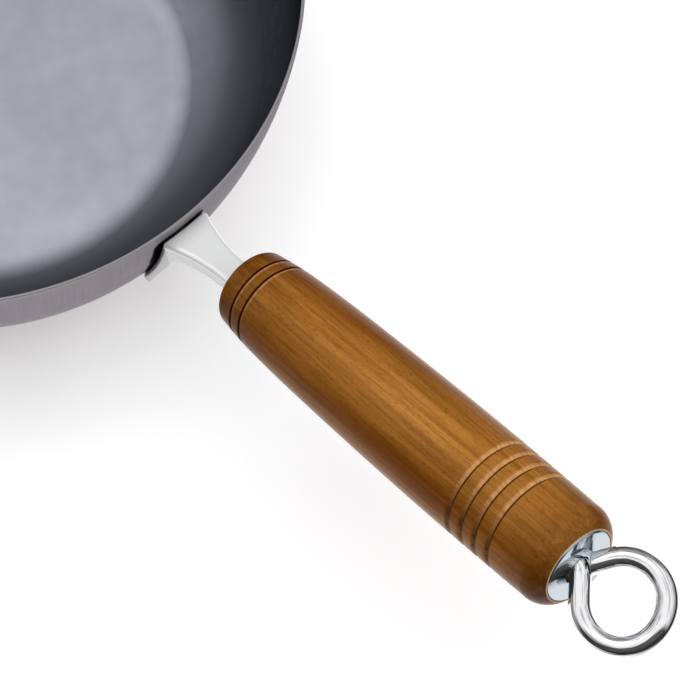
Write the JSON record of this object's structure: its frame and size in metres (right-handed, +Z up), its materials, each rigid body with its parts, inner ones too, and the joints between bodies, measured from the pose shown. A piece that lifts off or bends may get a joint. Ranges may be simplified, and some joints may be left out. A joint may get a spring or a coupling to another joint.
{
  "type": "carbon steel wok",
  "caption": "Deep flat-based carbon steel wok with a straight turned wooden grip on a folded neck bracket and a hanging eye at its end.",
  "frame": {"origin": "middle of the flat base, on the surface that the wok stands on", "axes": "+Z up, +X from the middle of the bowl out along the handle, +Y square to both"},
  "size_m": [0.4605, 0.2424, 0.1334],
  "materials": {
    "carbon_steel": "bare grey carbon steel, satin, lightly dimpled inside",
    "bright_plating": "bright plated sheet",
    "weld_metal": "plain weld metal",
    "zinc_plating": "bright zinc plating",
    "stained_wood": "golden brown stain under a semi gloss varnish",
    "chrome_wire": "mirror chrome"
  },
  "bodies": {
    "root": {"pan_shell": "carbon_steel", "neck_bracket": "bright_plating", "spot_welds": "weld_metal", "tie_block": "zinc_plating", "block_weld_beads": "weld_metal", "wooden_grip": "stained_wood", "end_plate": "zinc_plating", "eye_bolt": "chrome_wire"}
  },
  "joints": []
}
